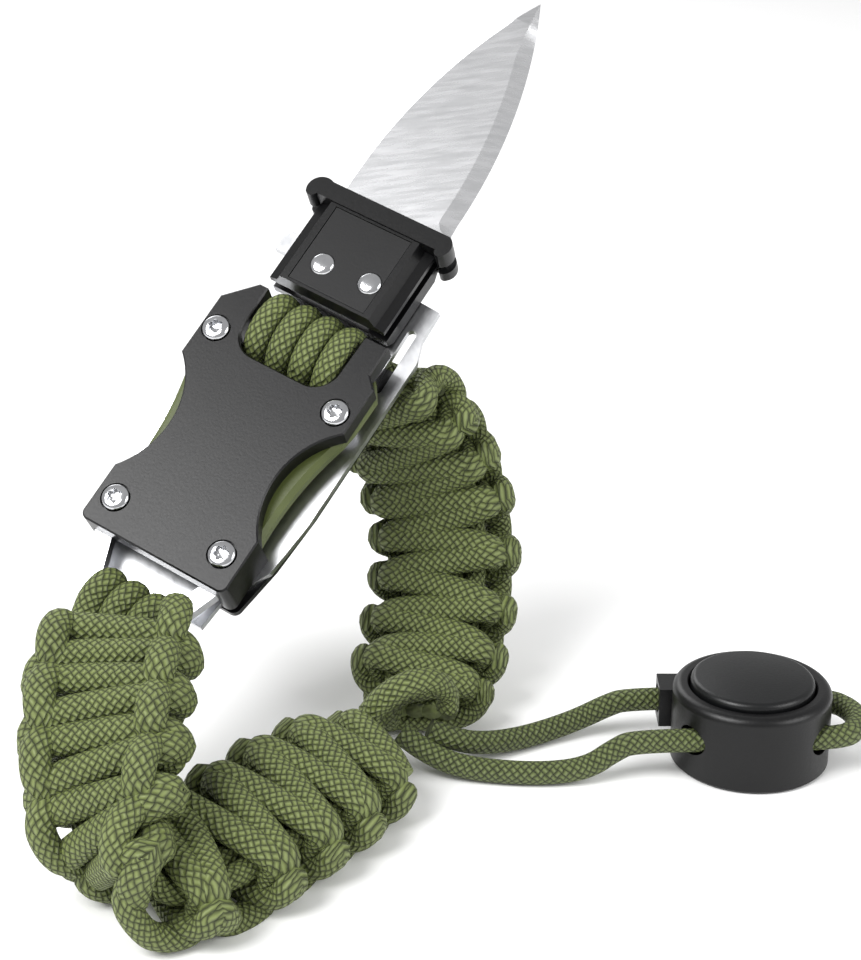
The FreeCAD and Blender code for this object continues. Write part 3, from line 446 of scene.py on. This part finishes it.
def woven(name, strap, sizes, material, first_hand=1):
    """A strap of half knots: one cord crosses the outer face, the other the inner face and the edges."""
    wide, tall = sizes.cord_half_wide, sizes.cord_half_tall
    high = BAR_HIGH
    knots_made = int(round(strap.length / sizes.pitch))
    pitch = strap.length / knots_made
    shape = Shape()
    front, back = [], []
    for k in range(knots_made):
        hand = first_hand if k % 2 == 0 else -first_hand
        mid = (k + 0.5) * pitch
        front += [strap.knot(mid - 0.12 * pitch, -hand * 0.70, high - 0.5, (-0.35 * hand, 1)),
                  strap.knot(mid - 0.04 * pitch, -hand * 0.36, high + 0.35, (0, 1)),
                  strap.knot(mid + 0.04 * pitch, hand * 0.36, high + 0.35, (0, 1)),
                  strap.knot(mid + 0.12 * pitch, hand * 0.70, high - 0.5, (0.35 * hand, 1)),
                  strap.knot(mid + 0.30 * pitch, hand * 0.86, 1.4, (hand, 0.45)),
                  strap.knot(mid + 0.50 * pitch, hand * 0.90, -0.7, (hand, -0.1)),
                  strap.knot(mid + 0.70 * pitch, hand * 0.86, 1.4, (hand, 0.45))]
        back += [strap.knot(mid - 1.36 * pitch, hand * 0.62, 1.2, (0.3 * hand, 0.8)),
                 strap.knot(mid - 1.12 * pitch, hand * 0.66, high + 0.9, (0.15 * hand, 1)),
                 strap.knot(mid - 0.50 * pitch, hand * 0.68, high + 1.9, (0.2 * hand, 1)),
                 strap.knot(mid + 0.12 * pitch, hand * 0.66, high + 0.9, (0.15 * hand, 1)),
                 strap.knot(mid + 0.40 * pitch, hand * 0.64, 0.6, (hand, 0.2)),
                 strap.knot(mid + 0.42 * pitch, hand * 0.66, -high + 0.8, (hand * 0.5, -1)),
                 strap.knot(mid + 0.18 * pitch, hand * 0.34, -high - 0.35, (0, -1)),
                 strap.knot(mid - 0.18 * pitch, -hand * 0.34, -high - 0.35, (0, -1)),
                 strap.knot(mid - 0.40 * pitch, -hand * 0.72, -high + 0.6, (-hand * 0.5, -1))]
    for knots in (front, back):
        line, ups = smooth_run(knots)
        swept(shape, line, ups, wide, tall)
    for x in (-0.42, -0.14, 0.14, 0.42):
        knots = [strap.knot(d * 3.0, x, 0.0, (0, 1)) for d in range(int(strap.length / 3.0) + 1)]
        line, ups = smooth_run(knots, 1.5)
        swept(shape, line, ups, CORE_RADIUS, CORE_RADIUS)
    return shape.piece(name, material)


# ---------------------------------------------------------------- finishes on the frame's own parts


def finishes():
    """The materials, made once and shared by name."""
    if "Nylon sheath" in bpy.data.materials:
        return bpy.data.materials
    colours = bpy.context.scene.bracelet_colours
    cell = bpy.context.scene.bracelet_sizes.braid_cell
    coated_steel("Baked black coating", "#070708", "#0b0b0c", 0.30)
    coated_steel("Baked black coating, panel", "#0c0c0d", "#111112", 0.38)
    bright_steel("Brushed stainless", "#b4b5b8", "#d2d3d5", 0.24, 0.36, (900.0, 60.0, 900.0))
    bright_steel("Ground blade steel", "#cfd0d2", "#ececee", 0.22, 0.32, (70.0, 1400.0, 900.0))
    bright_steel("Polished stainless", "#b9babd", "#d3d4d6", 0.10, 0.16, (500.0, 500.0, 500.0))
    moulded("Olive moulded nylon", "#454d26", "#525b2f", 0.36, 1800.0)
    moulded("Black acetal", "#060607", "#0a0a0b", 0.36, 2400.0)
    moulded("Black acetal, button", "#0a0b0c", "#0f1011", 0.34, 2400.0)
    # The dark ends of both sheaths' colour ramps are painted shade in the gaps between the yarns.
    braided_nylon("Nylon sheath", colours.cord_light, colours.cord_gap_painted_shade, cell, 11.0)
    braided_nylon("Drawcord sheath", colours.drawcord_light, colours.drawcord_gap_painted_shade, cell, 9.0)
    return bpy.data.materials


CAD_FINISH = {
    "front_plate": "Baked black coating", "back_cover": "Baked black coating",
    "grip_front": "Baked black coating", "grip_rear": "Baked black coating",
    "collar_front": "Baked black coating", "collar_rear": "Baked black coating",
    "grip_panel": "Baked black coating, panel", "strap_plate": "Brushed stainless",
    "rear_plate": "Brushed stainless", "spacer_bushes": "Brushed stainless",
    "blade": "Ground blade steel", "plate_screws": "Polished stainless",
    "barrel_nuts": "Polished stainless", "grip_rivets": "Polished stainless",
    "lock_spring": "Brushed stainless", "liner_rail_left": "Olive moulded nylon",
    "liner_rail_right": "Olive moulded nylon", "lock_body": "Black acetal", "lock_base": "Black acetal",
    "lock_button": "Black acetal, button", "upper_loop_cords": "Nylon sheath",
    "lower_loop_cords": "Nylon sheath", "strap_a_upper": "Nylon sheath", "strap_a_lower": "Nylon sheath",
    "strap_b": "Nylon sheath", "end_loop": "Nylon sheath", "drawcord": "Drawcord sheath",
}


class BRACELET_OT_finish_frame(bpy.types.Operator):
    """Gives every part of the frame its material"""

    bl_idname = "bracelet.finish_frame"
    bl_label = "Finish frame parts"

    def execute(self, context):
        stock = finishes()
        for node, name in CAD_FINISH.items():
            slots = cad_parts[node].data.materials
            slots.clear()
            slots.append(stock[name])
        return {"FINISHED"}


class BRACELET_OT_straps(bpy.types.Operator):
    """Weaves the two straps"""

    bl_idname = "bracelet.straps"
    bl_label = "Straps"

    def execute(self, context):
        sizes = context.scene.bracelet_sizes
        stock = finishes()
        lower = woven("strap_a_weave", Strap(STRAP_A, -1), sizes, stock["Nylon sheath"], 1)
        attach(lower, "bracelet")
        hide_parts("strap_a_upper", "strap_a_lower")
        upper = woven("strap_b_weave", Strap(STRAP_B, 1), sizes, stock["Nylon sheath"], -1)
        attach(upper, "bracelet")
        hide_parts("strap_b")
        return {"FINISHED"}


class BRACELET_OT_bar_cords(bpy.types.Operator):
    """Turns the straps' cords over the buckle's two bars"""

    bl_idname = "bracelet.bar_cords"
    bl_label = "Bar cords"

    def execute(self, context):
        stock = finishes()
        shape = Shape()
        strap, home = Strap(STRAP_B, 1), BUCKLE.inverted()
        for x in (-6.3, -2.1, 2.1, 6.3):
            near = [home @ strap.knot(way, x * 0.065, -1.7, (0, 1))[0] for way in (4.5, 0.8)]
            away = [home @ strap.knot(way, x * 0.065, 1.5, (0, 1))[0] for way in (0.8, 4.5)]
            knots = [(near[0], (0, -1, 0)), (near[1], (0, -1, 0)), ((x + 1.6, 16.4, -12.6), (0, -1, 0)),
                     ((x, 15.2, -6.0), (0, -1, 0.1)),
                     ((x * 1.01, 16.6, -2.2), (0, -0.75, 0.7)), ((x * 1.01, 19.6, -0.7), (0, -0.1, 1)),
                     ((x, 22.8, -1.2), (0, 0.5, 0.85)), ((x, 24.7, -3.6), (0, 1, 0.3)),
                     ((x, 24.9, -7.0), (0, 1, 0)), ((x + 1.4, 25.2, -11.6), (0, 1, 0)),
                     (away[0], (0, 1, 0)), (away[1], (0, 1, 0))]
            line, ups = smooth_run(knots, 0.5)
            swept(shape, line, ups, 2.05, 1.75)
        upper = shape.piece("upper_bar_cords", stock["Nylon sheath"], BUCKLE)
        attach(upper, "bracelet")
        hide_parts("upper_loop_cords")
        shape = Shape()
        for x in (-4.2, 0.0, 4.2):
            knots = [((x + 1.6, -39.5, -2.2), (0, 0, 1)), ((x + 0.8, -34.5, -1.5), (0, 0, 1)),
                     ((x, -30.5, -1.1), (0, 0, 1)), ((x, -27.6, -1.9), (0, 0.7, 0.7)),
                     ((x, -26.2, -4.1), (0, 1, 0)), ((x, -27.6, -6.3), (0, 0.7, -0.7)),
                     ((x, -30.5, -7.1), (0, 0, -1)), ((x + 0.8, -36.0, -6.6), (0, 0, -1))]
            line, ups = smooth_run(knots, 0.5)
            swept(shape, line, ups, 2.15, 1.7)
        lower = shape.piece("lower_bar_cords", stock["Nylon sheath"], BUCKLE)
        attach(lower, "bracelet")
        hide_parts("lower_loop_cords")
        return {"FINISHED"}


class BRACELET_OT_end_loop(bpy.types.Operator):
    """Lays the keeper loop over the straps' ends"""

    bl_idname = "bracelet.end_loop"
    bl_label = "Keeper loop"

    def execute(self, context):
        shape = Shape()
        middle = Vector((16.0, -5.0, 7.0))
        knots = [(spot, Vector(spot) - middle) for spot in END_LOOP]
        line, ups = smooth_run(knots, 0.5)
        swept(shape, line, ups, 2.2, 1.75)
        loop = shape.piece("keeper_loop", finishes()["Nylon sheath"])
        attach(loop, "bracelet")
        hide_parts("end_loop")
        return {"FINISHED"}


class BRACELET_OT_drawcord(bpy.types.Operator):
    """Lays the drawcord through the cord lock and back"""

    bl_idname = "bracelet.drawcord"
    bl_label = "Drawcord"

    def execute(self, context):
        radius = context.scene.bracelet_sizes.drawcord_radius
        curve = bpy.data.curves.new("drawcord_course", "CURVE")
        curve.dimensions = "3D"
        curve.resolution_u = 24
        run = curve.splines.new("NURBS")
        run.points.add(len(DRAWCORD) - 1)
        for point, spot in zip(run.points, DRAWCORD):
            point.co = (*spot, 1.0)
        run.order_u = 3
        run.use_endpoint_u = True
        course = bpy.data.objects.new("drawcord_course", curve)
        bpy.context.scene.collection.objects.link(course)
        context.view_layer.update()
        read = bpy.data.meshes.new_from_object(course.evaluated_get(context.evaluated_depsgraph_get()))
        line = [vertex.co / MM for vertex in read.vertices]
        bpy.data.objects.remove(course)
        shape = Shape()
        up = Vector((0, 0, 1))
        swept(shape, line, [up] * len(line), radius, radius, 16)
        cord = shape.piece("drawcord_sheath", finishes()["Drawcord sheath"])
        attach(cord, "bracelet")
        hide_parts("drawcord")
        return {"FINISHED"}


def turned(shape, profile, centre, spokes=48):
    """Rings about a vertical axis: each profile entry is (radius or function of the turn, height)."""
    rings = []
    for radius, height in profile:
        ring = []
        for k in range(spokes):
            turn = 2 * math.pi * k / spokes
            reach = radius(turn) if callable(radius) else radius
            ring.append(Vector((centre[0] + reach * math.cos(turn),
                                centre[1] + reach * math.sin(turn), height)))
        rings.append(ring)
    shape.ring_strip(rings)


class BRACELET_OT_fasteners(bpy.types.Operator):
    """Makes the buckle's domed screws and the grip's polished rivets"""

    bl_idname = "bracelet.fasteners"
    bl_label = "Fasteners"

    def execute(self, context):
        stock = finishes()
        shape = Shape()
        for n, spot in enumerate(SCREWS):
            start = 0.5 * n

            def lobes(turn, start=start):
                return 1.02 + 0.16 * math.cos(6 * (turn + start))

            def rim(turn, start=start):
                return 1.10 + 0.16 * math.cos(6 * (turn + start))

            turned(shape, [(1.15, -9.4), (1.15, -0.7), (2.0, -0.68), (2.15, -0.55), (2.15, 0.05),
                           (2.05, 0.28), (1.8, 0.45), (1.45, 0.55), (rim, 0.58), (lobes, 0.48),
                           (lobes, -0.35), (0.5, -0.45)], spot)
        heads = shape.piece("screw_heads", stock["Polished stainless"], BUCKLE, 35)
        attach(heads, "bracelet")
        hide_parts("plate_screws")
        shape = Shape()
        for spot in RIVETS:
            turned(shape, [(1.94, -6.9), (1.94, 0.55), (1.9, 0.78), (1.7, 0.98), (1.35, 1.12),
                           (0.8, 1.2), (0.2, 1.22)], spot)
        rivets = shape.piece("rivet_heads", stock["Polished stainless"], BUCKLE, 60)
        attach(rivets, "knife")
        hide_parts("grip_rivets")
        return {"FINISHED"}


class BRACELET_OT_lock_spring(bpy.types.Operator):
    """Winds the push button's spring"""

    bl_idname = "bracelet.lock_spring"
    bl_label = "Lock spring"

    def execute(self, context):
        low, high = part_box("lock_spring")
        middle = (low + high) / (2 * MM)
        foot, top, wire, coil, turns = low.z / MM, high.z / MM, 0.34, 2.5, 5
        line = []
        for n in range(turns * 24 + 1):
            turn = 2 * math.pi * n / 24
            line.append(Vector((middle.x + coil * math.cos(turn), middle.y + coil * math.sin(turn),
                                foot + wire + (top - foot - 2 * wire) * n / (turns * 24))))
        shape = Shape()
        swept(shape, line, [Vector((0, 0, 1))] * len(line), wire, wire, 8)
        spring = shape.piece("button_spring", finishes()["Brushed stainless"])
        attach(spring, "cord_lock")
        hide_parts("lock_spring")
        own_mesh(spring)
        return {"FINISHED"}


def arc_side(first, middle, last, y):
    """The x of a circular arc through three points, at a height y along the blade."""
    (ax, ay), (bx, by), (cx, cy) = first, middle, last
    cross = 2 * (ax * (by - cy) + bx * (cy - ay) + cx * (ay - by))
    a2, b2, c2 = ax ** 2 + ay ** 2, bx ** 2 + by ** 2, cx ** 2 + cy ** 2
    ux = (a2 * (by - cy) + b2 * (cy - ay) + c2 * (ay - by)) / cross
    uy = (a2 * (cx - bx) + b2 * (ax - cx) + c2 * (bx - ax)) / cross
    reach = math.hypot(ax - ux, ay - uy)
    swing = math.sqrt(max(reach ** 2 - (y - uy) ** 2, 0.0))
    return ux + (swing if bx > ux else -swing)


# The blade in the buckle's frame: its two long sides are arcs through these points.
TIP = (0.4, 91.3)
EDGE_ARC = ((10.1, 49.0), (8.2, 68.5), TIP)
BACK_ARC = ((-9.5, 46.2), (-7.6, 69.0), TIP)
TANG_START, TANG_END, TANG_HALF = 27.5, 42.5, 7.0
GRIND_START, GRIND_RUN = 45.5, 2.0
BLADE_MIDDLE = -3.4


class BRACELET_OT_blade(bpy.types.Operator):
    """Grinds the blade: flat faces, an edge bevel, a broken spine and a hooked heel"""

    bl_idname = "bracelet.blade"
    bl_label = "Blade"

    def execute(self, context):
        edge_start, back_start = EDGE_ARC[0][1], BACK_ARC[0][1]
        heel = ((TANG_END, 12.0), (44.0, 12.25), (44.9, 12.3), (45.6, 11.6), (46.2, 10.7), (47.0, 10.3),
                (edge_start, 10.1))
        heights = [TANG_START, TANG_END - 0.05, TANG_END, 43.2, 44.0, 44.4, 44.9, 45.3, 45.6, 45.9, 46.2,
                   46.6, 47.0, 48.0]
        heights += [edge_start + (TIP[1] - 0.05 - edge_start) * math.sin(math.pi / 2 * n / 46)
                    for n in range(47)]
        rings = []
        for y in heights:
            right = arc_side(*EDGE_ARC, y)
            if y < edge_start:
                right = next(x0 + (x1 - x0) * (y - y0) / (y1 - y0) for (y0, x0), (y1, x1)
                             in zip(heel, heel[1:]) if y <= y1)
            left = arc_side(*BACK_ARC, max(y, back_start))
            if y < TANG_END:
                left, right = -TANG_HALF, TANG_HALF
            wide = right - left
            ground = min(max((y - GRIND_START) / GRIND_RUN, 0.0), 1.0)
            bevel = min(2.6, wide * 0.28) * ground + 0.05
            spine = min(0.7, wide * 0.12)
            thick = min(1.0, 0.1 + wide * 0.2)
            edge = min(1.0 - 0.94 * ground, thick)
            rim = thick * 0.45
            profile = [(left, rim), (left + spine, thick), (right - bevel, thick), (right, edge),
                       (right, -edge), (right - bevel, -thick), (left + spine, -thick), (left, -rim)]
            rings.append([Vector((x, y, z + BLADE_MIDDLE)) for x, z in profile])
        shape = Shape()
        shape.ring_strip(rings)
        shape.faces = [face[::-1] for face in shape.faces]
        blade = shape.piece("ground_blade", finishes()["Ground blade steel"], BUCKLE, 8)
        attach(blade, "knife")
        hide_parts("blade")
        return {"FINISHED"}


CAMERA_SPOT = (0.01951, -0.29595, 0.165)
CAMERA_TILT = 68.0  # degrees up from looking straight down
VIEW_ANGLE = 25.2273  # degrees, from the bottom of the view to its top


class BRACELET_OT_stage(bpy.types.Operator):
    """Sets the pale floor, the soft lights and the camera"""

    bl_idname = "bracelet.stage"
    bl_label = "Stage"

    def execute(self, context):
        scene = context.scene
        floor_mesh = bpy.data.meshes.new("floor")
        reach = 3.0
        corners = [(-reach, -reach, 0), (reach, -reach, 0), (reach, reach, 0), (-reach, reach, 0)]
        floor_mesh.from_pydata(corners, [], [(0, 1, 2, 3)])
        floor = bpy.data.objects.new("floor", floor_mesh)
        paper, tree, bsdf = blank_material("White paper sweep", Roughness=0.9)
        mottled(tree, bsdf, "#f4f4f4", "#f8f8f8", 3.0)
        floor_mesh.materials.append(paper)
        scene.collection.objects.link(floor)
        world = bpy.data.worlds.new("studio")
        world.use_nodes = True
        world.node_tree.nodes["Background"].inputs["Color"].default_value = (1, 1, 1, 1)
        world.node_tree.nodes["Background"].inputs["Strength"].default_value = 0.55
        scene.world = world
        target = Vector((0.01, -0.005, 0.045))
        for name, spot, size, power in (("key", (-0.46, -0.40, 0.70), 0.50, 9.5),
                                        ("fill", (0.70, -0.35, 0.45), 0.5, 4.0),
                                        ("back", (-0.25, 0.70, 0.50), 0.5, 2.2)):
            lamp = bpy.data.lights.new(name, "AREA")
            lamp.size = size
            lamp.energy = power
            light = bpy.data.objects.new(name, lamp)
            light.location = spot
            light.rotation_euler = (target - Vector(spot)).to_track_quat("-Z", "Y").to_euler()
            scene.collection.objects.link(light)
        lens = bpy.data.cameras.new("camera")
        lens.sensor_fit = "VERTICAL"
        lens.angle = math.radians(VIEW_ANGLE)
        camera = bpy.data.objects.new("camera", lens)
        camera.location = CAMERA_SPOT
        camera.rotation_euler = (math.radians(CAMERA_TILT), 0, 0)
        scene.collection.objects.link(camera)
        scene.camera = camera
        scene.view_settings.view_transform = "Standard"
        return {"FINISHED"}


class BRACELET_PT_panel(bpy.types.Panel):
    """Lists the bracelet's pieces"""

    bl_label = "Cord bracelet"
    bl_space_type = "VIEW_3D"
    bl_region_type = "UI"
    bl_category = "Bracelet"

    def draw(self, context):
        for settings in (context.scene.bracelet_sizes, context.scene.bracelet_colours):
            for name in settings.__annotations__:
                self.layout.prop(settings, name)
        for operator in OPERATORS:
            self.layout.operator(operator.bl_idname)


SETTINGS = (BraceletSizes, BraceletColours)
OPERATORS = (BRACELET_OT_finish_frame, BRACELET_OT_straps, BRACELET_OT_bar_cords, BRACELET_OT_end_loop,
             BRACELET_OT_lock_spring, BRACELET_OT_drawcord, BRACELET_OT_fasteners, BRACELET_OT_blade,
             BRACELET_OT_stage)


def register():
    for kind in SETTINGS + OPERATORS + (BRACELET_PT_panel,):
        bpy.utils.register_class(kind)
    bpy.types.Scene.bracelet_sizes = bpy.props.PointerProperty(type=BraceletSizes)
    bpy.types.Scene.bracelet_colours = bpy.props.PointerProperty(type=BraceletColours)


def unregister():
    del bpy.types.Scene.bracelet_sizes
    del bpy.types.Scene.bracelet_colours
    for kind in reversed(SETTINGS + OPERATORS + (BRACELET_PT_panel,)):
        bpy.utils.unregister_class(kind)


def main():
    register()
    bpy.ops.bracelet.finish_frame()
    bpy.ops.bracelet.straps()
    bpy.ops.bracelet.bar_cords()
    bpy.ops.bracelet.end_loop()
    bpy.ops.bracelet.lock_spring()
    bpy.ops.bracelet.drawcord()
    bpy.ops.bracelet.fasteners()
    bpy.ops.bracelet.blade()
    bpy.ops.bracelet.stage()


if __name__ == "__main__":
    main()
